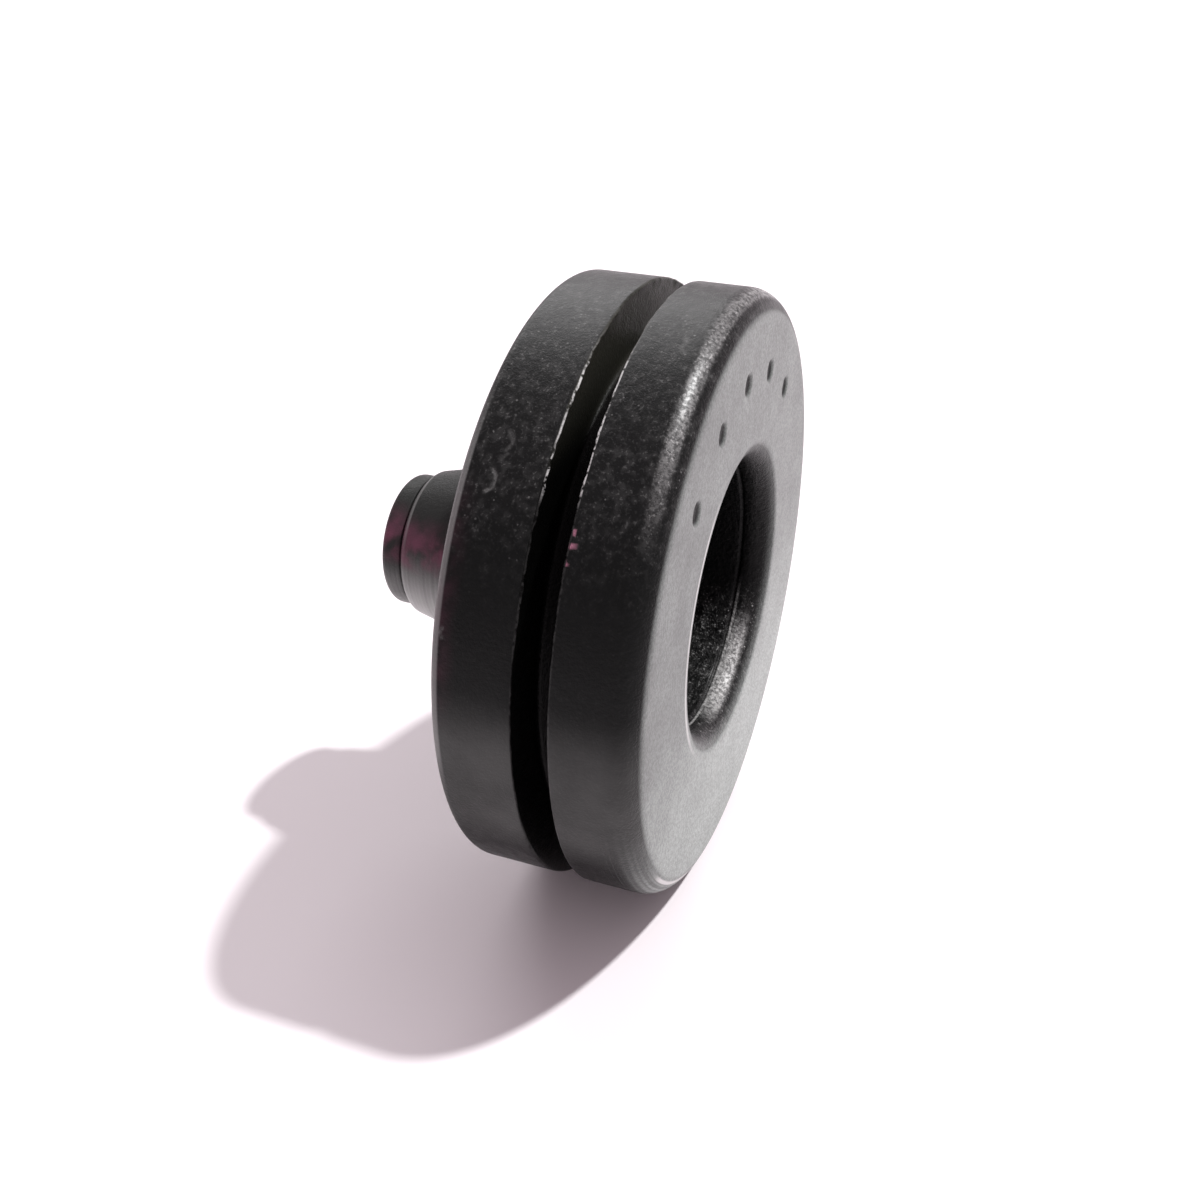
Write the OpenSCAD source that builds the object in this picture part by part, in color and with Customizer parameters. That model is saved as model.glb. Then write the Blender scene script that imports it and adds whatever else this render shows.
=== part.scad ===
// Moulded rubber grommet: two equal flanges with a panel groove between them,
// a wide bore in the front face and a hollow tail on the back.
// It is one turned form, so its half-section is drawn once and revolved.
// The axis lies along Y and the front face looks towards -Y.
// The origin is on the axis, in the middle of the groove.

/* [Flanges] */
// Outer diameter of both flanges
flange_d = 35; // [32:0.5:50]
// Thickness of the front flange
front_t = 4.5; // [3.6:0.1:8]
// Thickness of the rear flange
rear_t = 4.4; // [3.6:0.1:8]
// Large round on the outer edge of the front face
front_round = 1.6; // [0.4:0.1:2.4]
// Small round on the back edge of the rear flange
rear_round = 0.5; // [0.2:0.1:2]

/* [Groove] */
// Width of the groove, for the panel's thickness
groove_w = 1.9; // [1:0.1:4]
// Diameter of the groove's floor, for the panel's hole
groove_d = 28.5; // [24:0.25:30]
// Fillet in the two corners of the groove's floor
groove_fillet = 0.3; // [0.1:0.05:0.4]
// Round on the two edges where the groove opens
groove_edge = 0.15; // [0.05:0.05:0.4]

/* [Bore] */
// Diameter of the bore in the front face
bore_d = 15.9; // [12:0.1:18]
// Depth of the bore, from the front face to its floor
bore_depth = 8.6; // [6:0.1:9.5]
// Round on the mouth of the bore
mouth_round = 1.5; // [0.5:0.1:1.6]
// Fillet between the bore's wall and its floor
floor_fillet = 0.8; // [0.2:0.1:1.5]
// Depth of the ring line that the mould's core leaves in the bore's wall
ring_depth = 1.85; // [1.8:0.05:3]
// Width of the ring line
ring_w = 0.3; // [0.1:0.05:0.5]
// How far the ring line is cut into the wall
ring_cut = 0.15; // [0.05:0.05:0.3]

/* [Tail] */
// Length of the tail behind the rear flange
tail_len = 10.2; // [7:0.1:20]
// Diameter of the tail where it leaves the rear flange
tail_base_d = 12.9; // [11:0.1:18]
// Diameter of the tail at its neck, beside the notch
neck_d = 8.8; // [8:0.1:10]
// Fillet between the tail and the rear flange
tail_fillet = 0.6; // [0.2:0.1:1.5]
// Round on the neck's shoulder, beside the notch
neck_round = 0.6; // [0.2:0.05:0.9]

/* [Tip] */
// Diameter of the disc at the tail's tip
tip_d = 8.1; // [7.6:0.1:9]
// Thickness of the disc at the tail's tip
tip_t = 1.3; // [1:0.05:3]
// Round on the back edge of the tip
tip_round = 0.45; // [0.1:0.05:0.7]
// Width of the notch at its floor, between the neck and the tip
notch_w = 0.12; // [0.05:0.01:0.4]
// Depth of the notch, measured in from the tip's rim
notch_cut = 0.35; // [0.1:0.05:0.5]

/* [Passage] */
// Diameter of the passage through the tail
passage_d = 4.8; // [3:0.1:5.2]
// Diameter of the funnel where it opens in the bore's floor
funnel_d = 8; // [6:0.1:9]
// Length of the funnel, from the bore's floor to the passage
funnel_len = 3.6; // [1:0.1:5]
// Round where the passage opens in the tip
passage_round = 0.3; // [0.1:0.05:0.4]

/* [Hidden] */
// Facets of a full turn, for the preview
$fn = 96;
// How far a cut or a joined shape runs past the face that it meets
lap = 0.05;

flange_r = flange_d / 2;
groove_r = groove_d / 2;
bore_r = bore_d / 2;
base_r = tail_base_d / 2;
neck_r = neck_d / 2;
tip_r = tip_d / 2;
passage_r = passage_d / 2;
funnel_r = funnel_d / 2;

// Stations along the axis, positive towards the front face
front_y = groove_w / 2 + front_t;
rear_y = -groove_w / 2 - rear_t;
floor_y = front_y - bore_depth;
ring_y = front_y - ring_depth;
passage_y = floor_y - funnel_len;
tip_y = rear_y - tail_len;
notch_y = tip_y + tip_t;
neck_y = notch_y + notch_w;

// Angle by which the tail's side leans away from the axis
taper = atan((base_r - neck_r) / (rear_y - neck_y));

// The sliver between a sharp corner and the round that takes its place.
// Cut from the rubber it rounds an outer edge, and kept out of a cut it leaves a fillet.
// One side runs along +X before the turn, and the other at the opening angle.
module corner(at, r, turn, opening = 90) {
    reach = r / tan(opening / 2);
    translate(at)
        rotate(turn)
            difference() {
                polygon([
                    [-lap / tan(opening / 2), -lap],
                    [reach, -lap],
                    [reach, r],
                    [
                        reach * cos(opening) - lap * sin(opening),
                        reach * sin(opening) + lap * cos(opening),
                    ],
                ]);
                translate([reach, r])
                    circle(r);
            }
}

// The plain block that every cut is taken from: radius along X, station along Y
module blank() {
    translate([0, tip_y])
        square([flange_r, front_y - tip_y]);
}

// The groove for the panel, with a fillet in each corner of its floor
module groove() {
    difference() {
        translate([groove_r, -groove_w / 2])
            square([flange_r - groove_r + lap, groove_w]);
        corner([groove_r, -groove_w / 2], groove_fillet, 0);
        corner([groove_r, groove_w / 2], groove_fillet, -90);
    }
}

// All that lies outside the tail: its root fillet, cone, notch and tip stay behind
module around_tail() {
    difference() {
        polygon([
            [flange_r + lap, rear_y],
            [base_r, rear_y],
            [neck_r, neck_y],
            [tip_r - notch_cut, neck_y],
            [tip_r - notch_cut, notch_y],
            [tip_r, notch_y],
            [tip_r, tip_y - lap],
            [flange_r + lap, tip_y - lap],
        ]);
        corner([base_r, rear_y], tail_fillet, -90 - taper, 90 + taper);
    }
}

// What the rounds take off the outer edges, from the front face to the tip
module rounds() {
    corner([flange_r, front_y], front_round, 180);
    corner([flange_r, groove_w / 2], groove_edge, 90);
    corner([flange_r, -groove_w / 2], groove_edge, 180);
    corner([flange_r, rear_y], rear_round, 90);
    corner([neck_r, neck_y], neck_round, 90 - taper, 90 + taper);
    corner([tip_r, tip_y], tip_round, 90);
}

// The bore: a straight wall with a round mouth, a fillet at its floor and a ring line
module bore() {
    difference() {
        translate([0, floor_y])
            square([bore_r, bore_depth + lap]);
        corner([bore_r, floor_y], floor_fillet, 90);
    }
    corner([bore_r, front_y], mouth_round, -90);
    polygon([
        [bore_r - lap, ring_y + ring_w / 2],
        [bore_r, ring_y + ring_w / 2],
        [bore_r + ring_cut, ring_y],
        [bore_r, ring_y - ring_w / 2],
        [bore_r - lap, ring_y - ring_w / 2],
    ]);
}

// The way through the tail: a funnel from the bore's floor, then a straight passage
module passage() {
    polygon([
        [0, floor_y + lap],
        [funnel_r, floor_y + lap],
        [funnel_r, floor_y],
        [passage_r, passage_y],
        [passage_r, tip_y - lap],
        [0, tip_y - lap],
    ]);
    corner([passage_r, tip_y], passage_round, 0);
}

// The rubber on one side of the axis
module half_section() {
    difference() {
        blank();
        groove();
        around_tail();
        rounds();
        bore();
        passage();
    }
}

module grommet() {
    color([0.07, 0.07, 0.075])
        rotate([90, 0, 0])
            rotate_extrude()
                half_section();
}

grommet();
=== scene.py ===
# %% [markdown]
# # A moulded rubber grommet
#
# A grommet is pushed into a round hole in a panel. Its two flanges grip the sheet between them,
# and a rod or tube goes through its middle. This one is a single moulding: a thick double flange
# with a wide bore in front, and a small hollow tail behind. The script dresses that one piece,
# lights it and sets the camera.
#
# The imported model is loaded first. It is the fixed frame that everything else is measured from.

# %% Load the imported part
import math

import bmesh
import bpy
from mathutils import Matrix, Vector, noise


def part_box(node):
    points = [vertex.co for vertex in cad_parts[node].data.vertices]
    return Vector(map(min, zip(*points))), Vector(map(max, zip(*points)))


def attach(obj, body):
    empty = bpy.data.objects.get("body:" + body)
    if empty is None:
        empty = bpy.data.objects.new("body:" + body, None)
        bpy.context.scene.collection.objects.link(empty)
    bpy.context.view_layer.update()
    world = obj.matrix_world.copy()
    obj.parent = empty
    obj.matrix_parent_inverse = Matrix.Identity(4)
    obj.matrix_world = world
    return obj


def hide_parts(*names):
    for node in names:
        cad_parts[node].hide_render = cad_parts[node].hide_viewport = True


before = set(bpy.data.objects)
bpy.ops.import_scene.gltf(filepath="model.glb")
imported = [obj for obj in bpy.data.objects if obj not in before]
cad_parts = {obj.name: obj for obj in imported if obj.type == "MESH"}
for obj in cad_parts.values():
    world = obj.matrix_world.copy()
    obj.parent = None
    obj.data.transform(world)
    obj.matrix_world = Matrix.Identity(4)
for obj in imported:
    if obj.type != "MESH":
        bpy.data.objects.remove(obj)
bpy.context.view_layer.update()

# %% [markdown]
# ## Sizes
#
# Blender works in metres and moulded rubber is drawn in millimetres, so every size below is a
# count of `MM`. The overall sizes come from the solid's own box: its width is the flange, its
# near end is the front face and its far end is the tip of the tail. The axis lies along Y, so a
# place on the part is a radius and a station along Y.

# %% Sizes of the moulding
MM = 0.001
low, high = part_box("grommet")
FLANGE_R = max(high.x, high.z)
FRONT_Y = low.y
TIP_Y = high.y

GROOVE_W = 1.9 * MM
GROOVE_R = 14.25 * MM
REAR_T = 4.4 * MM
BACK_Y = GROOVE_W / 2 + REAR_T

BORE_R = 7.95 * MM
BORE_DEPTH = 8.6 * MM
BORE_FLOOR_Y = FRONT_Y + BORE_DEPTH
RING_DEPTH = 1.85 * MM
RING_Y = FRONT_Y + RING_DEPTH
RING_W = 0.3 * MM
RING_CUT = 0.15 * MM

TAIL_BASE_R = 6.45 * MM
NECK_R = 4.4 * MM
TIP_R = 4.05 * MM
TIP_T = 1.3 * MM
NOTCH_W = 0.12 * MM
NOTCH_CUT = 0.35 * MM
NOTCH_R = TIP_R - NOTCH_CUT
NOTCH_Y = TIP_Y - TIP_T
NECK_Y = NOTCH_Y - NOTCH_W

PASSAGE_R = 2.4 * MM
FUNNEL_R = 4.0 * MM
FUNNEL_LEN = 3.6 * MM
PASSAGE_Y = BORE_FLOOR_Y + FUNNEL_LEN
print("flange radius", round(FLANGE_R / MM, 2), "mm")
print("length", round((TIP_Y - FRONT_Y) / MM, 2), "mm")

# %% [markdown]
# ## Camera
#
# A camera is a place, a direction and a lens. The place is given here as a photographer would
# say it: how far round the part, how high above it, and how far away. `AIM` slides the view
# sideways and up, so that the part sits in the frame as it should. The lens and the sensor are
# in millimetres, and their ratio sets how wide the field is.

# %% Camera
AROUND = math.radians(-69.142)
ABOVE = math.radians(31.025)
DISTANCE = 78.08 * MM
AIM_RIGHT = -2.75 * MM
AIM_UP = -1.06 * MM
SENSOR = 36
LENS = 39.69

to_camera = Vector((
    math.sin(AROUND) * math.cos(ABOVE),
    -math.cos(AROUND) * math.cos(ABOVE),
    math.sin(ABOVE),
))
turn = to_camera.to_track_quat("Z", "Y")
aim = turn @ Vector((AIM_RIGHT, AIM_UP, 0))

camera = bpy.data.objects.new("camera", bpy.data.cameras.new("camera"))
bpy.context.collection.objects.link(camera)
camera.location = aim + to_camera * DISTANCE
camera.rotation_mode = "QUATERNION"
camera.rotation_quaternion = turn
camera.data.sensor_width = SENSOR
camera.data.lens = LENS
camera.data.clip_start = 1 * MM
camera.data.clip_end = 20
bpy.context.scene.camera = camera
print("camera at", [round(c / MM, 1) for c in camera.location], "mm")

# %% [markdown]
# ## Floor
#
# The part stands on its two rims, so the floor lies one flange radius below the axis. One big
# square is enough. It isn't part of the object.

# %% Floor
FLOOR_SIZE = 6.0


def new_object(name, bm):
    """Turns a finished bmesh into an object at the origin."""
    mesh = bpy.data.meshes.new(name)
    bm.to_mesh(mesh)
    bm.free()
    piece = bpy.data.objects.new(name, mesh)
    bpy.context.collection.objects.link(piece)
    return piece


bm = bmesh.new()
bmesh.ops.create_grid(bm, x_segments=1, y_segments=1, size=FLOOR_SIZE / 2)
bmesh.ops.translate(bm, verts=bm.verts, vec=(0, 0, -FLANGE_R))
floor = new_object("floor", bm)
print("floor at", round(-FLANGE_R / MM, 2), "mm")

# %% [markdown]
# ## The half-section
#
# A turned or moulded ring is easiest to make the way a lathe would: draw half of its section and
# spin it round the axis. The section starts as straight lines between sharp corners. Each corner
# then gets its own round with a vertex bevel, which works on bare edges as well as on faces. On a
# square corner the bevel's offset is the radius.

# %% Draw the section and round its corners
CORNERS = [
    # radius, station, bevel offset, bevel segments
    (BORE_R, FRONT_Y, 1.5 * MM, 14),  # the bore's mouth
    (FLANGE_R, FRONT_Y, 1.6 * MM, 16),  # the front flange's large round
    (FLANGE_R, -GROOVE_W / 2, 0.15 * MM, 4),  # the groove, from its front edge to its rear one
    (GROOVE_R, -GROOVE_W / 2, 0.3 * MM, 4),
    (GROOVE_R, GROOVE_W / 2, 0.3 * MM, 4),
    (FLANGE_R, GROOVE_W / 2, 0.15 * MM, 4),
    (FLANGE_R, BACK_Y, 0.5 * MM, 8),  # the rear flange's back edge
    (TAIL_BASE_R, BACK_Y, 0.6 * MM, 8),  # the tail's root
    (NECK_R, NECK_Y, 0.5 * MM, 8),  # the neck's shoulder
    (NOTCH_R, NECK_Y, 0, 0),  # the notch
    (NOTCH_R, NOTCH_Y, 0, 0),
    (TIP_R, NOTCH_Y, 0.06 * MM, 2),  # the tip
    (TIP_R, TIP_Y, 0.45 * MM, 8),
    (PASSAGE_R, TIP_Y, 0.3 * MM, 6),  # the passage, from the tip to the funnel
    (PASSAGE_R, PASSAGE_Y, 0.3 * MM, 3),
    (FUNNEL_R, BORE_FLOOR_Y, 0.1 * MM, 2),
    (BORE_R, BORE_FLOOR_Y, 0.8 * MM, 8),  # the bore's floor
    (BORE_R, RING_Y + RING_W / 2, 0.03 * MM, 2),  # the ring line in the bore's wall
    (BORE_R + RING_CUT, RING_Y, 0.03 * MM, 2),
    (BORE_R, RING_Y - RING_W / 2, 0.03 * MM, 2),
]
LONGEST_CELL = 0.45 * MM


def section_wire():
    """The closed half-section in the XY plane, with its corners rounded."""
    bm = bmesh.new()
    corners = [bm.verts.new((radius, station, 0)) for radius, station, _, _ in CORNERS]
    for near, far in zip(corners, corners[1:] + corners[:1]):
        bm.edges.new((near, far))
    for corner, (_, _, offset, segments) in zip(corners, CORNERS):
        if segments:
            bmesh.ops.bevel(
                bm, geom=[corner], offset=offset, offset_type="OFFSET", segments=segments,
                profile=0.5, affect="VERTICES", material=-1,
            )
    for edge in list(bm.edges):
        cuts = int(edge.calc_length() / LONGEST_CELL)
        if cuts:
            bmesh.ops.subdivide_edges(bm, edges=[edge], cuts=cuts)
    return bm


bm = section_wire()
print("section:", len(bm.verts), "points")

# %% [markdown]
# ## Spin it
#
# `spin` copies the wire round the axis and joins the copies with faces. It gets slow over a full
# turn in fine steps, so only a sixth of the ring is spun. Five copies of that wedge are turned
# into place and the seams merged. The section never touches the axis, so the result is a closed
# ring with no poles.

# %% Spin a wedge and copy it round
WEDGES = 6
STEPS_A_WEDGE = 56
WEDGE_ANGLE = math.tau / WEDGES
SEAM_GAP = 0.001 * MM

bmesh.ops.spin(
    bm, geom=bm.verts[:] + bm.edges[:], cent=(0, 0, 0), axis=(0, 1, 0), angle=WEDGE_ANGLE,
    steps=STEPS_A_WEDGE, use_merge=False, use_duplicate=False,
)
wedge = bm.verts[:] + bm.edges[:] + bm.faces[:]
for number in range(1, WEDGES):
    copied = bmesh.ops.duplicate(bm, geom=wedge)["geom"]
    points = [item for item in copied if isinstance(item, bmesh.types.BMVert)]
    into_place = Matrix.Rotation(WEDGE_ANGLE * number, 3, "Y")
    bmesh.ops.rotate(bm, verts=points, cent=(0, 0, 0), matrix=into_place)
bmesh.ops.remove_doubles(bm, verts=bm.verts, dist=SEAM_GAP)
bmesh.ops.recalc_face_normals(bm, faces=bm.faces)
open_edges = sum(not edge.is_manifold for edge in bm.edges)
print("skin:", len(bm.verts), "vertices,", len(bm.faces), "faces,", open_edges, "open edges")

# %% [markdown]
# ## Trimmed flash on the groove's edges
#
# Rubber creeps into the joint between two mould halves and leaves a thin flash, which is trimmed
# by hand. Here the joint was at the groove, so both of its edges wander a little and carry a
# torn, lighter line. The vertices close to each edge are pushed into the groove by a noise that
# runs round the ring. The push only goes inwards, so the part never grows past its solid. It is
# strong on the upper half, where the trimming was rough, and slight below. How near each vertex
# is to the edge is kept as an attribute, for the material to colour.

# %% Push the groove's edges about
FLASH_REACH = 0.35 * MM
REAR_PUSH = 0.18 * MM
FRONT_PUSH = 0.08 * MM
REAR_LINE = 1.0
FRONT_LINE = 1.25
ROUGH_FROM = 4 * MM
ROUGH_FULL = 11 * MM
SLIGHT_PUSH = 0.22
WAVES = 7
TEETH = 26


def smooth(value):
    """The usual S curve from 0 to 1."""
    value = min(max(value, 0), 1)
    return value * value * (3 - 2 * value)


def ragged(around, seed):
    """A noise from 0 to 1 that closes on itself round the ring: long waves with small teeth."""
    x, z = math.sin(around), math.cos(around)
    waves = noise.noise(Vector((x * WAVES, z * WAVES, seed)))
    teeth = noise.noise(Vector((x * TEETH, z * TEETH, seed + 5)))
    return smooth(0.45 + 0.8 * waves + 0.5 * teeth)


flash = bm.verts.layers.float.new("flash")
moved = 0
for vert in bm.verts:
    radius = math.hypot(vert.co.x, vert.co.z)
    off_edge = math.hypot(FLANGE_R - radius, abs(vert.co.y) - GROOVE_W / 2)
    if off_edge < FLASH_REACH:
        side = 1 if vert.co.y > 0 else -1
        torn = ragged(math.atan2(vert.co.x, vert.co.z), 3 * side)
        near = smooth(1 - off_edge / FLASH_REACH)
        upper = smooth((vert.co.z - ROUGH_FROM) / (ROUGH_FULL - ROUGH_FROM))
        push, line = (REAR_PUSH, REAR_LINE) if side > 0 else (FRONT_PUSH, FRONT_LINE)
        vert.co.y -= side * push * near * torn * (SLIGHT_PUSH + (1 - SLIGHT_PUSH) * upper)
        vert[flash] = near * (0.8 + 0.2 * torn) * line
        moved += 1
print("flash:", moved, "vertices moved by up to", round(REAR_PUSH / MM, 2), "mm")

# %% [markdown]
# ## Moulded pips
#
# Mouldings often carry a few small round dents where pins in the mould met the rubber. Five of
# them sit in a row on the front face. The faces round each pip are cut finer first, so that the
# dent has enough vertices to be round, and those vertices are then pressed in.

# %% Press the pips into the front face
PIP_RING_R = 13.1 * MM
PIP_ANGLES = [math.radians(degrees) for degrees in (-42, -21, 0, 21, 42)]
PIP_R = 0.75 * MM
PIP_DEPTH = 0.16 * MM
PIP_SLOPE = 0.45
PIP_PATCH_R = PIP_R * 1.4


def cut_finer(bm, patch, cuts):
    """Cuts some faces finer. The dict names each of their edges once, in a fixed order."""
    edges = dict.fromkeys(edge for face in patch for edge in face.edges)
    bmesh.ops.subdivide_edges(bm, edges=list(edges), cuts=cuts, use_grid_fill=True)


for angle in PIP_ANGLES:
    centre = Vector((PIP_RING_R * math.sin(angle), FRONT_Y, PIP_RING_R * math.cos(angle)))
    patch = [f for f in bm.faces if (f.calc_center_median() - centre).length < PIP_PATCH_R]
    cut_finer(bm, patch, cuts=3)
    for vert in bm.verts:
        out = (vert.co - centre).length / PIP_R
        if out < 1:
            vert.co.y += PIP_DEPTH * smooth((1 - out) / PIP_SLOPE)
print("pips:", len(PIP_ANGLES), "and now", len(bm.faces), "faces")

# %% [markdown]
# ## Scuffs
#
# Handling leaves a few small marks on the rims. Each is a short path over the rubber, given by
# its angle round the ring and its station. The faces under a path are cut finer. Vertices close
# to it are pressed in a little, and an attribute says how strongly the material should lighten
# them there. The last three are only specks of colour beside the groove, a painted pink
# reflection, so they have no depth.

# %% Scuff the rims
SCUFFS_AND_ROSE_SPECKS = [
    # points as (around in degrees, station in mm), half width in mm, depth in mm, strength
    ([(-45.6, 3.60), (-46.4, 3.42), (-47.4, 3.40), (-48.5, 3.44), (-49.2, 3.74)], 0.13, 0.04, 1.0),
    ([(-38.8, 3.40), (-39.8, 3.10), (-40.8, 3.03), (-42.0, 3.22)], 0.15, 0.01, 0.45),
    ([(-42.6, 3.12), (-43.6, 3.34), (-44.4, 3.42)], 0.11, 0.01, 0.40),
    ([(-71.6, 4.72), (-72.6, 4.82), (-73.4, 4.70)], 0.12, 0.05, 0.8),
    ([(-14.6, -3.20), (-15.8, -3.36), (-17.2, -3.24), (-18.2, -3.52)], 0.20, 0.01, 0.45),
    ([(-52.8, -1.12), (-53.4, -1.14)], 0.11, 0, 0.8),
    ([(-55.1, -1.10), (-55.4, -1.10)], 0.13, 0, 1.0),
    ([(-58.0, -1.08), (-58.2, -1.08)], 0.09, 0, 0.7),
]
SCUFF_MARGIN = 0.8 * MM
SCUFF_PATCH = 0.4 * MM
SCUFF_SLOPE = 0.7


def on_rim(degrees, station):
    """A place on the rim, from its angle round the ring and its station in millimetres."""
    around = math.radians(degrees)
    return Vector((FLANGE_R * math.sin(around), station * MM, FLANGE_R * math.cos(around)))


def off_path(point, path):
    """How far a point lies from a line through several points."""
    nearest = math.inf
    for start, end in zip(path, path[1:]):
        run = end - start
        share = min(max((point - start).dot(run) / run.length_squared, 0), 1)
        nearest = min(nearest, (point - start - run * share).length)
    return nearest


scuff_and_rose_reflection = bm.verts.layers.float.new("scuff_and_rose_reflection")
for points, wide, depth, strength in SCUFFS_AND_ROSE_SPECKS:
    path = [on_rim(*point) for point in points]
    middle = (path[0] + path[-1]) / 2
    around_it = (path[0] - path[-1]).length / 2 + SCUFF_MARGIN
    nearby = [f for f in bm.faces if (f.calc_center_median() - middle).length < around_it]
    patch = [f for f in nearby if off_path(f.calc_center_median(), path) < SCUFF_PATCH]
    cut_finer(bm, patch, cuts=4)
    for vert in [vert for vert in bm.verts if (vert.co - middle).length < around_it]:
        close = smooth((1 - off_path(vert.co, path) / (wide * MM)) / SCUFF_SLOPE)
        if close:
            radius = math.hypot(vert.co.x, vert.co.z)
            shrink = 1 - depth * MM * close / radius
            vert.co.x *= shrink
            vert.co.z *= shrink
            vert[scuff_and_rose_reflection] = close * strength
print("scuffs:", len(SCUFFS_AND_ROSE_SPECKS), "and now", len(bm.faces), "faces")

# %% [markdown]
# ## The finished skin
#
# The mesh becomes one object. It rides on the part's only body and stands in for the plain solid,
# which is hidden. Faces are smooth, but edges sharper than `CRISP_ANGLE` stay crisp.

# %% Turn the mesh into the piece
CRISP_ANGLE = math.radians(50)

grommet = new_object("grommet_skin", bm)
grommet.data.polygons.foreach_set("use_smooth", [True] * len(grommet.data.polygons))
grommet.data.set_sharp_from_angle(angle=CRISP_ANGLE)
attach(grommet, "root")
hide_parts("grommet")
grommet.data.calc_loop_triangles()
print("grommet_skin:", len(grommet.data.loop_triangles), "triangles")

# %% [markdown]
# ## Helpers for materials
#
# A node material is a small program, and a few helpers keep it readable. The first ones do sums,
# and pass a plain number or another node's output in the same way. `soft_step` is the one that
# the masks are made of: it runs smoothly from one value to another between two places.

# %% Helpers: sums and soft steps


def give(tree, socket, value):
    """Sets an input to a plain value, or links it to another node's output."""
    if isinstance(value, bpy.types.NodeSocket):
        tree.links.new(value, socket)
    else:
        socket.default_value = value


def work_out(tree, operation, *values):
    """One Math node."""
    node = tree.nodes.new("ShaderNodeMath")
    node.operation = operation
    for socket, value in zip(node.inputs, values):
        give(tree, socket, value)
    return node.outputs[0]


def work_along(tree, operation, first, *others):
    """The same Math node again and again, over several values."""
    for value in others:
        first = work_out(tree, operation, first, value)
    return first


def times(tree, *values):
    """The product of several values."""
    return work_along(tree, "MULTIPLY", *values)


def plus(tree, *values):
    """The sum of several values."""
    return work_along(tree, "ADD", *values)


def largest(tree, *values):
    """The largest of several values."""
    return work_along(tree, "MAXIMUM", *values)


def soft_step(tree, value, start, end, low=0.0, high=1.0):
    """Runs from low at start to high at end, and stays there."""
    node = tree.nodes.new("ShaderNodeMapRange")
    node.interpolation_type = "SMOOTHSTEP"
    names = ("Value", "From Min", "From Max", "To Min", "To Max")
    for name, number in zip(names, (value, start, end, low, high)):
        give(tree, node.inputs[name], number)
    return node.outputs["Result"]


def band(tree, value, start, full, fall, end):
    """1 from full to fall, and 0 outside start and end."""
    return times(tree, soft_step(tree, value, start, full), soft_step(tree, value, end, fall))


def between(tree, mask, low, high):
    """low where a mask is 0, high where it is 1."""
    return soft_step(tree, mask, 0.0, 1.0, low, high)


print("sums, soft steps and bands are ready")

# %% [markdown]
# The next ones read what a pattern needs: a number that the mesh carries, or a noise. The two
# blends lay one value or colour over another.

# %% Helpers: patterns and blends


def attribute_of(tree, name):
    """A number that the mesh carries at its vertices."""
    node = tree.nodes.new("ShaderNodeAttribute")
    node.attribute_name = name
    return node.outputs["Fac"]


def noise_of(tree, vector, scale, detail=2.0, roughness=0.5):
    """A Noise texture's value."""
    node = tree.nodes.new("ShaderNodeTexNoise")
    names = ("Vector", "Scale", "Detail", "Roughness")
    for name, value in zip(names, (vector, scale, detail, roughness)):
        give(tree, node.inputs[name], value)
    return node.outputs[0]


def blend_numbers(tree, share, first, second):
    """A Mix node for numbers: first where share is 0, second where it is 1."""
    node = tree.nodes.new("ShaderNodeMix")
    for socket, value in ((0, share), (2, first), (3, second)):
        give(tree, node.inputs[socket], value)
    return node.outputs[0]


def blend_colours(tree, share, first, second):
    """A Mix node for colours: first where share is 0, second where it is 1."""
    node = tree.nodes.new("ShaderNodeMix")
    node.data_type = "RGBA"
    for socket, value in ((0, share), (6, first), (7, second)):
        give(tree, node.inputs[socket], value)
    return node.outputs[2]


print("patterns and blends are ready")

# %% [markdown]
# A node group is made once with named sockets, and then placed as often as it is needed, each
# time with its own values.

# %% Helpers: node groups


def new_group(name, inputs, outputs):
    """An empty node group with named sockets. Every input is a number unless it says VECTOR."""
    tree = bpy.data.node_groups.new(name, "ShaderNodeTree")
    for label, value in inputs:
        kind = "NodeSocketVector" if value == "VECTOR" else "NodeSocketFloat"
        socket = tree.interface.new_socket(name=label, in_out="INPUT", socket_type=kind)
        if value != "VECTOR":
            socket.default_value = value
    for label, kind in outputs:
        tree.interface.new_socket(name=label, in_out="OUTPUT", socket_type=kind)
    into = tree.nodes.new("NodeGroupInput").outputs
    out = tree.nodes.new("NodeGroupOutput").inputs
    return tree, into, out


def place_group(tree, group, **values):
    """Puts a group into a tree and gives its inputs their values."""
    node = tree.nodes.new("ShaderNodeGroup")
    node.node_tree = group
    for label, value in values.items():
        give(tree, node.inputs[label.replace("_", " ")], value)
    return node.outputs


print("node groups are ready")

# %% [markdown]
# ## Where on the part
#
# The patterns on this part follow its axis: rings on the tail, a line along the groove, a matte
# front face. Object coordinates are the part's own metres, so this group turns them into
# millimetres, a radius and a station. Height and Across are measured from the axis.

# %% Group: place on the part
PLACE, _, out = new_group(
    "place on the part", [],
    [("Millimetres", "NodeSocketVector"), ("Radius", "NodeSocketFloat"),
     ("Station", "NodeSocketFloat"), ("Height", "NodeSocketFloat"),
     ("Across", "NodeSocketFloat")],
)
coordinates = PLACE.nodes.new("ShaderNodeTexCoord")
scaled = PLACE.nodes.new("ShaderNodeVectorMath")
scaled.operation = "SCALE"
scaled.inputs["Scale"].default_value = 1 / MM
PLACE.links.new(coordinates.outputs["Object"], scaled.inputs[0])
parted = PLACE.nodes.new("ShaderNodeSeparateXYZ")
PLACE.links.new(scaled.outputs[0], parted.inputs[0])
squares = [times(PLACE, parted.outputs[axis], parted.outputs[axis]) for axis in ("X", "Z")]
PLACE.links.new(scaled.outputs[0], out["Millimetres"])
PLACE.links.new(work_out(PLACE, "SQRT", plus(PLACE, *squares)), out["Radius"])
for label, axis in (("Station", "Y"), ("Height", "Z"), ("Across", "X")):
    PLACE.links.new(parted.outputs[axis], out[label])
print("made", PLACE.name)
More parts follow.
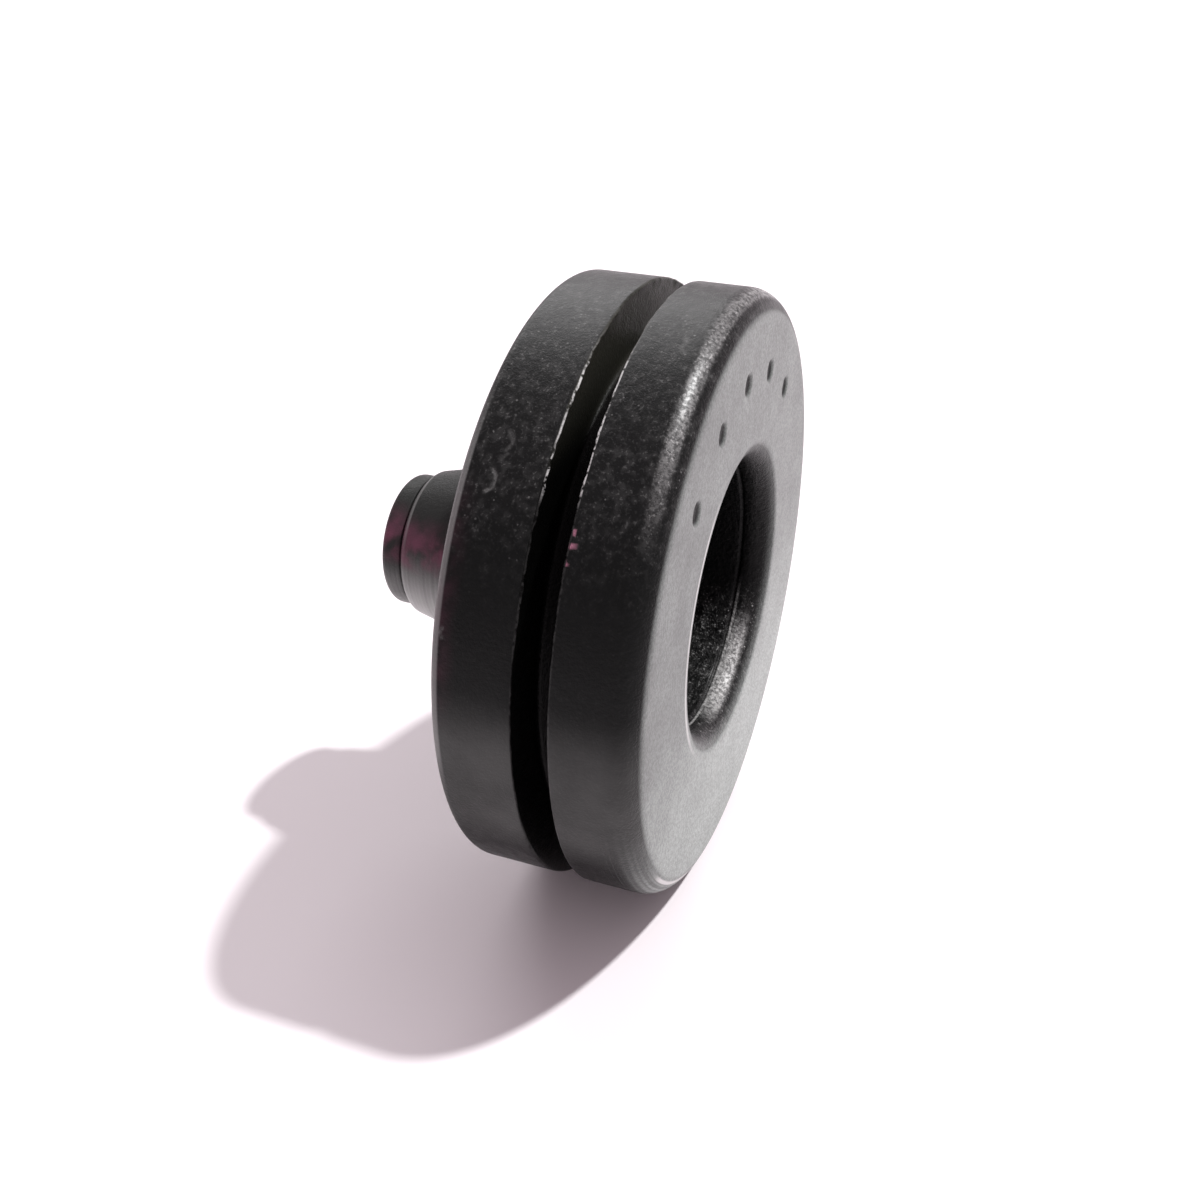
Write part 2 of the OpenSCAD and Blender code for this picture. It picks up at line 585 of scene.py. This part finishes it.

# %% [markdown]
# ## Grain, flecks and rings
#
# Three small groups make the surface. The grain is the sandy skin that a blasted mould leaves.
# The flecks are pale specks, used below partly as dust and partly as painted glints. The rings are
# the marks of the lathe that cut the mould, and they run along a radius or a station. Each puts
# out a height in millimetres or a mask, never a shader.

# %% Group: moulded grain
FINER = 2.7
FINE_WEIGHT = 0.8
HOLLOWS_FROM = 1.20
HOLLOWS_FULL = 0.60

GRAIN, into, out = new_group(
    "moulded grain", [("Millimetres", "VECTOR"), ("Grain size", 0.2), ("Depth", 0.01)],
    [("Height", "NodeSocketFloat"), ("Hollows", "NodeSocketFloat")],
)
pitch = work_out(GRAIN, "DIVIDE", 1.0, into["Grain size"])
coarse = noise_of(GRAIN, into["Millimetres"], pitch, detail=1.0)
fine = noise_of(GRAIN, into["Millimetres"], times(GRAIN, pitch, FINER), detail=1.0)
grain_sum = plus(GRAIN, coarse, times(GRAIN, fine, FINE_WEIGHT))
GRAIN.links.new(times(GRAIN, grain_sum, into["Depth"]), out["Height"])
GRAIN.links.new(soft_step(GRAIN, grain_sum, HOLLOWS_FROM, HOLLOWS_FULL), out["Hollows"])
print("made", GRAIN.name)

# %% Group: light flecks
SMALLEST_FLECK = 0.4
FLECK_CORE = 0.4

FLECKS, into, out = new_group(
    "light flecks",
    [("Millimetres", "VECTOR"), ("Spacing", 0.4), ("Share", 0.3), ("Fleck size", 0.05)],
    [("Mask", "NodeSocketFloat")],
)
cells = FLECKS.nodes.new("ShaderNodeTexVoronoi")
FLECKS.links.new(into["Millimetres"], cells.inputs["Vector"])
FLECKS.links.new(work_out(FLECKS, "DIVIDE", 1.0, into["Spacing"]), cells.inputs["Scale"])
chance = FLECKS.nodes.new("ShaderNodeSeparateColor")
FLECKS.links.new(cells.outputs["Color"], chance.inputs[0])
chosen = work_out(FLECKS, "LESS_THAN", chance.outputs[0], into["Share"])
reach = work_out(FLECKS, "DIVIDE", into["Fleck size"], into["Spacing"])
reach = times(FLECKS, reach, plus(FLECKS, SMALLEST_FLECK, chance.outputs[1]))
spot = soft_step(FLECKS, cells.outputs["Distance"], reach, times(FLECKS, reach, FLECK_CORE))
FLECKS.links.new(times(FLECKS, spot, chosen), out["Mask"])
print("made", FLECKS.name)

# %% Group: turned rings
RINGS, into, out = new_group(
    "turned rings", [("Along", 0.0), ("Pitch", 0.3), ("Depth", 0.004)],
    [("Height", "NodeSocketFloat")],
)
ripple = RINGS.nodes.new("ShaderNodeTexNoise")
ripple.noise_dimensions = "1D"
RINGS.links.new(work_out(RINGS, "DIVIDE", into["Along"], into["Pitch"]), ripple.inputs["W"])
ripple.inputs["Scale"].default_value = 1.0
ripple.inputs["Detail"].default_value = 2.0
RINGS.links.new(times(RINGS, ripple.outputs[0], into["Depth"]), out["Height"])
print("made", RINGS.name)

# %% [markdown]
# ## Rubber: where its finishes lie
#
# Black rubber isn't black paint. Its rims are nearly black with a satin shine, and its blasted
# front face carries a grey bloom, painted far paler than a real bloom so that it also stands for
# the face's sheen. All the finishes flow into each other on one moulding, so this is one material,
# and masks say where each finish lies. A mask is a soft step or a band along one coordinate, and a
# product of masks is 1 only where all of them are.
#
# The numbers in a mask are places in millimetres. They count from the axis, or else from the
# face, wall or edge that the coordinate is named after, so `from_front` is 0 on the front face.

# %% Rubber: coordinates
rubber = bpy.data.materials.new("rubber")
rubber.use_nodes = True
tree = rubber.node_tree
shader = next(node for node in tree.nodes if node.type == "BSDF_PRINCIPLED")

place = place_group(tree, PLACE)
point, radius, station = place["Millimetres"], place["Radius"], place["Station"]
level, across = place["Height"], place["Across"]
from_front, from_ring, from_back, from_neck = (
    work_out(tree, "SUBTRACT", station, start / MM) for start in (FRONT_Y, RING_Y, BACK_Y, NECK_Y))
from_wall, from_groove, from_passage = (
    work_out(tree, "SUBTRACT", radius, start / MM) for start in (BORE_R, GROOVE_R, PASSAGE_R))
print("coordinates:", ", ".join(place.keys()))

# %% Rubber: masks for the flanges and the bore
LOW_ROUND_FACE_SHARE = 0.75
MOUTH_FACE_SHARE = 0.36

low_down = soft_step(tree, level, -3.0, -13.0)
high_up = soft_step(tree, level, 9.0, 13.0)
before_back = soft_step(tree, from_back, 0.0, -0.3)
on_rounds = soft_step(tree, radius, 12.5, 14.5)
in_mouth = times(tree, soft_step(tree, from_wall, 1.6, 1.1), before_back)
in_bore = times(tree, soft_step(tree, from_wall, 0.9, 0.2), before_back)
bore_low = soft_step(tree, level, -2.6, -6.0)

flat_face = soft_step(tree, from_front, 0.16, 0.01)
# Painted light: the face's pale finish reaches onto the low part of the large round as painted
# bounce from the floor, and a little way into the bore's mouth.
face_finish_low_on_round = times(tree, soft_step(tree, from_front, 1.5, 0.1), on_rounds, low_down, LOW_ROUND_FACE_SHARE)
face_finish_in_mouth = times(tree, soft_step(tree, from_front, 0.6, 0.0), in_mouth, MOUTH_FACE_SHARE)
on_face = largest(tree, flat_face, face_finish_low_on_round, face_finish_in_mouth)

near_front = times(tree, soft_step(tree, from_front, 1.8, 0.3), on_rounds)
on_streak = times(
    tree, band(tree, from_front, 0.26, 0.58, 1.10, 1.60), on_rounds,
    soft_step(tree, level, 9.5, 14.5))
on_foot = times(tree, band(tree, from_front, 0.03, 0.2, 1.4, 3.4), on_rounds, low_down)
in_groove = times(
    tree, soft_step(tree, work_out(tree, "ABSOLUTE", station), 1.03, 0.97),
    soft_step(tree, from_groove, -0.3, -0.1))
print("masks for the flanges and the bore:", len(tree.nodes), "nodes so far")

# %% Rubber: masks for the tail, and what is left
on_tail = soft_step(tree, from_back, 0.05, 0.5)
on_neck = times(tree, on_tail, soft_step(tree, from_neck, 0.05, 0.0))
in_passage = soft_step(tree, from_passage, 0.28, 0.05)
# How much of the tail's lower side the tip takes. That side is painted pale below, as a painted
# reflection of the floor.
tip_underside_share = soft_step(tree, level, 1.4, -0.8, 0.08, 0.48)
under_tail = times(
    tree, soft_step(tree, level, 2.4, -3.0), between(tree, on_neck, tip_underside_share, 1.0))
on_rims = work_out(tree, "SUBTRACT", 1.0, largest(tree, on_face, in_groove, on_tail))
torn, scuff_and_rose_share = (attribute_of(tree, name) for name in ("flash", "scuff_and_rose_reflection"))
print("masks for the tail:", len(tree.nodes), "nodes so far")

# %% [markdown]
# ## Rubber: colours and patterns
#
# The black differs from place to place: it is painted darker in the bore, the passage and the
# groove, as painted shade where no light gets in. The bloom is a pale grey that the rubber sweats
# out, painted paler on the face as a painted sheen, and bare, dusty or torn rubber is lighter
# still. The patterns that break these up are a fine grain, wide patches, a mottle with salt on it,
# and the lathe's rings, which the low part of the front flange has taken from its mould.

# %% Rubber: colours
# Several colours here are painted light: the rim and tail greys, the mauve and the rose are
# painted reflections, the bloom is partly painted sheen, the bore's deep black and the groove's
# two colours are painted shade, and the pale bare colour also paints glints and highlights.
BLACK = (0.0064, 0.0070, 0.0068, 1)
RIM_PAINTED_REFLECTION = (0.064, 0.066, 0.064, 1)
BLOOM_AND_PAINTED_SHEEN = (0.400, 0.443, 0.420, 1)
TAIL_BLACK = (0.0240, 0.0250, 0.0240, 1)
TAIL_PAINTED_REFLECTION = (0.42, 0.43, 0.42, 1)
BORE_PAINTED_SHADE = (0.0022, 0.0024, 0.0024, 1)
GROOVE_TOP_PAINTED_LIGHT = (0.030, 0.030, 0.024, 1)
GROOVE_PAINTED_SHADE = (0.0012, 0.0012, 0.0011, 1)
MAUVE_REFLECTION = (0.16, 0.055, 0.090, 1)
ROSE_REFLECTION = (0.62, 0.22, 0.34, 1)
PALE_BARE_AND_GLINT = (0.70, 0.70, 0.69, 1)
print("the bloom is", round(BLOOM_AND_PAINTED_SHEEN[1] / BLACK[1]), "times as light as the black")

# %% Rubber: patterns
grain = place_group(tree, GRAIN, Millimetres=point, Grain_size=0.18, Depth=1.0)
patches = noise_of(tree, point, 0.35, detail=3.0)
mottle = soft_step(tree, noise_of(tree, point, 2.2), 0.42, 0.72)
salt = soft_step(tree, noise_of(tree, point, 7.0, detail=1.0), 0.56, 0.70)
breaks = noise_of(tree, point, 4.5, detail=3.0, roughness=0.65)
broken = soft_step(tree, breaks, 0.38, 0.62, 0.30, 1.0)
blotches = soft_step(tree, noise_of(tree, point, 0.9), 0.24, 0.74)
gaps = soft_step(tree, noise_of(tree, point, 3.5), 0.36, 0.56)
turned = place_group(tree, RINGS, Along=station, Pitch=0.20, Depth=1.0)["Height"]
ring_wear = blend_numbers(tree, on_foot, 1.0, soft_step(tree, turned, 0.35, 0.65, 0.35, 1.45))
print("patterns:", len(tree.nodes), "nodes so far")

# %% [markdown]
# ## Rubber: black, bloom and painted light
#
# The colour is built in layers, each laid over the last by its mask. A thin grey comes first on
# the rims, as a painted reflection of the floor from just above the axis to well below it. The
# face's bloom is painted pale enough to stand for its sheen, and paler low down as painted bounce
# from the floor, and the grain's hollows keep less of it. The tail's lower side is painted pale as
# a painted reflection. The bore, the passage and the groove are then made dark again as painted
# shade, the groove a little paler near its top.

# %% Rubber: black, bloom and painted light
# Painted reflection: the rims are painted a thin grey in a band from just above the axis to well
# below it, standing for the floor's light that they reflect.
rim_reflection_share = times(
    tree, band(tree, level, 3.0, -1.0, -5.5, -9.0), soft_step(tree, patches, 0.3, 0.7, 0.7, 1.0),
    soft_step(tree, radius, 15.5, 17.0), ring_wear)
colour = blend_colours(tree, rim_reflection_share, BLACK, RIM_PAINTED_REFLECTION)

# Painted sheen: the face's bloom is painted far paler than real bloom to stand for its sheen,
# paler still low down and a little paler towards +X, as painted bounce from the floor.
bloom_and_painted_sheen_share = plus(
    tree, soft_step(tree, patches, 0.15, 0.85, 0.36, 0.58),
    soft_step(tree, level, 1.0, -11.0, 0.0, 0.50),
    soft_step(tree, across, -13.0, 3.0, -0.06, 0.03))
in_hollows = between(tree, grain["Hollows"], 1.0, 0.58)
bloom_and_painted_sheen_share = times(tree, bloom_and_painted_sheen_share, on_face, ring_wear, in_hollows)
colour = blend_colours(tree, bloom_and_painted_sheen_share, colour, BLOOM_AND_PAINTED_SHEEN)

# Painted reflection: the tail's lower side is painted pale, standing for the floor that it
# reflects.
tail_rings = place_group(tree, RINGS, Along=station, Pitch=0.22, Depth=1.0)["Height"]
tail_reflection_share = times(tree, under_tail, soft_step(tree, tail_rings, 0.3, 0.7, 0.84, 1.08))
tail_colour = blend_colours(tree, tail_reflection_share, TAIL_BLACK, TAIL_PAINTED_REFLECTION)
colour = blend_colours(tree, on_tail, colour, tail_colour)

# Painted shade: the bore and the passage are painted darker than the rims, and the groove darker
# still, paler near its top where a little painted light falls.
colour = blend_colours(tree, largest(tree, in_bore, in_passage), colour, BORE_PAINTED_SHADE)
groove_painted_shade_and_light = blend_colours(tree, soft_step(tree, level, 11.5, 16.0), GROOVE_PAINTED_SHADE, GROOVE_TOP_PAINTED_LIGHT)
colour = blend_colours(tree, in_groove, colour, groove_painted_shade_and_light)
print("black and bloom:", len(tree.nodes), "nodes so far")

# %% [markdown]
# ## Rubber: dust, painted glints and painted highlights
#
# Pale specks lie on the upper rims and low in the bore, as a mottle, as salt and as single flecks.
# They are partly dust and partly painted glints and reflection. Three narrow strips are painted
# highlights: low in the bore's mouth, beside the ring line in its wall, and along the front
# flange's large round, where the highlight sparkles.

# %% Rubber: dust, painted glints and painted highlights
BORE_GLINTS = 4.0
FLECK_LIGHT = 0.14
BORE_HIGHLIGHT = 0.90
RING_EDGE_GLINT = 0.60

# Painted glints and dust: the pale specks grow towards the top of the rims, where the light falls,
# and lie low in the bore's mouth as a painted reflection.
rim_dust_and_glints = soft_step(tree, level, 7.0, 13.2, 0.08, 1.0)
dust_and_glints = blend_numbers(tree, in_mouth, rim_dust_and_glints, times(tree, bore_low, BORE_GLINTS))
dust_and_glints = times(tree, dust_and_glints, on_rims)
speckle = plus(
    tree, times(tree, mottle, between(tree, in_mouth, 0.027, 0.010)),
    times(tree, salt, between(tree, mottle, 0.02, 0.07)))
flecks = place_group(
    tree, FLECKS, Millimetres=point, Spacing=0.30, Share=0.16, Fleck_size=0.06)["Mask"]

# Painted highlight: a pale broken band low in the bore's mouth, where the light is reflected.
bore_painted_highlight = times(
    tree, in_mouth, band(tree, from_front, 0.5, 0.85, 1.2, 2.0),
    soft_step(tree, level, -4.4, -7.0), soft_step(tree, across, -2.0, 1.5), broken, BORE_HIGHLIGHT)
# Painted glint: a pale broken line beside the ring line, low in the bore.
ring_edge_glint = times(
    tree, in_mouth, band(tree, from_ring, -0.34, -0.24, -0.16, -0.06), bore_low, broken,
    RING_EDGE_GLINT)
# Painted highlight: pale broken flecks along the large round's streak, to brighten its highlight.
streak_painted_highlight = times(
    tree, on_streak, band(tree, from_front, 0.40, 0.65, 0.95, 1.35), broken,
    between(tree, salt, 0.24, 0.58))

bare_shares = [
    times(tree, speckle, dust_and_glints), bore_painted_highlight, ring_edge_glint, streak_painted_highlight,
    times(tree, flecks, dust_and_glints, FLECK_LIGHT),
]
for share in bare_shares:
    colour = blend_colours(tree, share, colour, PALE_BARE_AND_GLINT)
print("dust and bare rubber:", len(bare_shares), "layers")

# %% [markdown]
# ## Rubber: painted mauve reflection, torn edge, painted highlights and scuffs
#
# A mauve tint on the tail and, faintly, on the rear rim's back edge is a painted reflection of the
# pink shadow. The torn line is where the flash was trimmed, so it follows the attribute that the
# pushed edges carry; it is made much paler on the upper part as a painted glint. Thin light lines
# on other edges are painted highlights and reflections: at the foot, on the bore's mouth, along
# the rear flange's back edge and on the neck's shoulder. The scuffs follow their own attribute,
# and the specks beside the groove carry it too and are tinted rose as a painted pink reflection.

# %% Rubber: painted mauve reflection
RIM_MAUVE = 0.18
TAIL_MAUVE = 0.84

# Painted reflection: a mauve tint on the rear rim's back edge and the tail's side, standing for
# the pink shadow that they reflect.
rim_mauve_reflection = times(
    tree, soft_step(tree, from_back, -1.6, -0.3), soft_step(tree, radius, 16.7, 17.2),
    band(tree, level, -1.0, 4.0, 9.0, 12.5), RIM_MAUVE)
tail_mauve_reflection = times(
    tree, on_tail, soft_step(tree, radius, 3.4, 3.9), band(tree, level, 0.2, 1.3, 2.0, 3.8),
    TAIL_MAUVE)
mauve_reflection = times(tree, blotches, largest(tree, rim_mauve_reflection, tail_mauve_reflection))
colour = blend_colours(tree, mauve_reflection, colour, MAUVE_REFLECTION)
print("stains:", len(tree.nodes), "nodes so far")

# %% Rubber: torn edge, painted glints and painted highlights
MOUTH_GLINT = 0.7
BACK_EDGE_HIGHLIGHT = 0.22
SHOULDER_HIGHLIGHT = 0.16

# Painted glint: the torn line is torn rubber, made much paler on the upper part where the light
# catches it.
painted_glint_on_top = between(tree, band(tree, level, 11.0, 12.6, 15.4, 17.2), 0.03, 0.9)
torn_line_and_glint = times(tree, soft_step(tree, torn, 0.68, 0.86), gaps, painted_glint_on_top)
# Painted reflection: a thin pale line at the bottom of the front round, standing for the floor's
# light.
foot_painted_reflection = times(
    tree, band(tree, from_front, 0.09, 0.13, 0.19, 0.24), on_rounds,
    band(tree, level, -15.8, -14.6, -11.2, -9.6), soft_step(tree, across, -4.0, -6.5))
# Painted glint: a thin pale ring on the bore's mouth, on its -X side.
mouth_painted_glint = times(
    tree, band(tree, from_wall, 1.34, 1.42, 1.58, 1.70), soft_step(tree, from_front, 0.12, 0.04),
    soft_step(tree, across, -0.5, -3.0), band(tree, level, -7.4, -2.5, 7.0, 8.8), MOUTH_GLINT)
# Painted highlight: a thin pale line along the rear flange's rounded back edge.
back_edge_painted_highlight = times(
    tree, band(tree, from_back, -0.55, -0.40, -0.18, -0.06), on_rounds,
    band(tree, level, -5.0, 0.0, 12.0, 16.0), BACK_EDGE_HIGHLIGHT)
# Painted highlight: a thin pale line round the neck's shoulder, above and below the axis.
shoulder_painted_highlight = times(
    tree, band(tree, from_neck, -0.50, -0.40, -0.30, -0.18),
    soft_step(tree, work_out(tree, "ABSOLUTE", level), 1.2, 3.4), SHOULDER_HIGHLIGHT)
lines = (torn_line_and_glint, foot_painted_reflection, mouth_painted_glint, back_edge_painted_highlight, shoulder_painted_highlight)
for line in lines:
    colour = blend_colours(tree, line, colour, PALE_BARE_AND_GLINT)
print("rubbed lines:", len(lines))

# %% Rubber: scuffs and painted rose reflection
SCUFF_LIGHT = 0.13
ROSE_REFLECTION_SHARE = 0.6

scuff_breaks = soft_step(tree, noise_of(tree, point, 5.0), 0.30, 0.55, 0.4, 1.0)
colour = blend_colours(tree, times(tree, scuff_and_rose_share, scuff_breaks, SCUFF_LIGHT), colour, PALE_BARE_AND_GLINT)
# Painted reflection: the specks beside the groove are tinted rose, a painted pink reflection.
beside_groove = band(tree, station, -1.5, -1.35, -0.95, -0.90)
colour = blend_colours(tree, times(tree, scuff_and_rose_share, beside_groove, ROSE_REFLECTION_SHARE), colour, ROSE_REFLECTION)
tree.links.new(colour, shader.inputs["Base Color"])
print("colour done:", len(tree.nodes), "nodes so far")

# %% [markdown]
# ## Rubber: shine
#
# The rubber is satin all over and a little duller on the face and the tail. Its own mirror shine
# is weak. A clear coat is laid over the places that glow where they are seen at a low angle: the
# face, the upper rims, the streak on the large round, the bore and the tail's underside.

# %% Rubber: roughness and shine
FACE_DULL = 0.16
TAIL_DULL = 0.05
FACE_SHINE = 0.55
TAIL_SHINE = 0.30
TOP_SHINE = 0.18

satin = soft_step(tree, noise_of(tree, point, 1.6, detail=3.0), 0.3, 0.7, 0.34, 0.42)
roughness = plus(tree, satin, times(tree, on_face, FACE_DULL), times(tree, on_tail, TAIL_DULL))
tree.links.new(roughness, shader.inputs["Roughness"])
shader.inputs["Specular IOR Level"].default_value = 0.10

shine = largest(
    tree, times(tree, on_streak, broken), times(tree, on_face, FACE_SHINE),
    times(tree, on_tail, under_tail, TAIL_SHINE),
    times(tree, on_rims, high_up, on_rounds, TOP_SHINE),
    times(tree, in_mouth, broken, between(tree, bore_low, 0.10, 0.50)))
tree.links.new(shine, shader.inputs["Coat Weight"])
shader.inputs["Coat Roughness"].default_value = 0.33
print("shine done:", len(tree.nodes), "nodes so far")

# %% [markdown]
# ## Rubber: bump
#
# One Bump node takes the sum of all the heights. They are in millimetres, so its distance is one
# millimetre. The fine grain is everywhere, and a coarser one lies in the bore's mouth and on the
# large round. The lathe's rings are on the tail and on the foot, the low part of that round.

# %% Rubber: bump
FINE_HEIGHT = 0.024
COARSE_ON_ROUND = 0.5
FOOT_RING_HEIGHT = 0.08
TAIL_RING_SHARE = 0.6
SALT_HEIGHT = 0.006

coarse = place_group(tree, GRAIN, Millimetres=point, Grain_size=0.27, Depth=0.075)["Height"]
coarse_share = largest(tree, in_mouth, times(tree, near_front, COARSE_ON_ROUND))
lathe_tail = place_group(tree, RINGS, Along=station, Pitch=0.30, Depth=0.014)["Height"]
height = plus(
    tree, times(tree, grain["Height"], FINE_HEIGHT), times(tree, coarse, coarse_share),
    times(tree, turned, on_foot, FOOT_RING_HEIGHT),
    times(tree, lathe_tail, on_tail, TAIL_RING_SHARE), times(tree, salt, dust_and_glints, SALT_HEIGHT))
bump = tree.nodes.new("ShaderNodeBump")
bump.inputs["Strength"].default_value = 1.0
bump.inputs["Distance"].default_value = MM
tree.links.new(height, bump.inputs["Height"])
tree.links.new(bump.outputs["Normal"], shader.inputs["Normal"])

grommet.data.materials.clear()
grommet.data.materials.append(rubber)
print("rubber:", len(tree.nodes), "nodes")

# %% [markdown]
# ## Floor paint
#
# The floor is a matte near-white. Lit at a plain level it comes out white, and the part's shadow
# shows on it. The paint is a touch pink, which shows in the shadow and not in the white.

# %% Floor paint
PAINT = (0.98, 0.93, 0.955, 1)

paint = bpy.data.materials.new("floor paint")
paint.use_nodes = True
paint_shader = next(node for node in paint.node_tree.nodes if node.type == "BSDF_PRINCIPLED")
paint_shader.inputs["Base Color"].default_value = PAINT
paint_shader.inputs["Roughness"].default_value = 0.9
paint_shader.inputs["Specular IOR Level"].default_value = 0.1
floor.data.materials.append(paint)
print("floor paint", PAINT[:3])

# %% [markdown]
# ## Light
#
# One sun gives the shadow, and the sky fills it. A sun lights a big floor evenly, where a lamp
# would fade away from the middle. The sky is faintly pink, as white rooms with warm walls are,
# and that tints only the shadow. Black rubber shows little but what it reflects, so a large soft
# window stands high behind the part: the tops of the rims pick it up and fade to black down
# their sides.

# %% Sun, window and sky
SUN_FROM = Vector((0.31, -0.46, 1.0))
SUN_LEVEL = 2.8
SUN_WIDTH = math.radians(3)
WINDOW_FROM = Vector((0.70, 0.42, 0.62)).normalized()
WINDOW_AWAY = 1.5
WINDOW_SIDE = 1.1
WINDOW_LEVEL = 3.0
SKY = (1, 0.86, 0.92, 1)
SKY_LEVEL = 0.43


def new_lamp(name, kind, shines_from):
    """A lamp turned to shine from a direction towards the part."""
    lamp = bpy.data.objects.new(name, bpy.data.lights.new(name, kind))
    bpy.context.collection.objects.link(lamp)
    lamp.rotation_mode = "QUATERNION"
    lamp.rotation_quaternion = shines_from.to_track_quat("Z", "Y")
    return lamp


sun = new_lamp("sun", "SUN", SUN_FROM)
sun.data.energy = SUN_LEVEL
sun.data.angle = SUN_WIDTH

window = new_lamp("window", "AREA", WINDOW_FROM)
window.location = WINDOW_FROM * WINDOW_AWAY
window.data.size = WINDOW_SIDE
window.data.energy = WINDOW_LEVEL * math.pi * WINDOW_SIDE ** 2
window.visible_camera = False

world = bpy.data.worlds.new("studio")
bpy.context.scene.world = world
world.use_nodes = True
world.node_tree.nodes["Background"].inputs["Color"].default_value = SKY
world.node_tree.nodes["Background"].inputs["Strength"].default_value = SKY_LEVEL
bpy.context.scene.view_settings.view_transform = "Standard"
print("sun", SUN_LEVEL, "window", round(window.data.energy, 1), "W, sky", SKY_LEVEL)
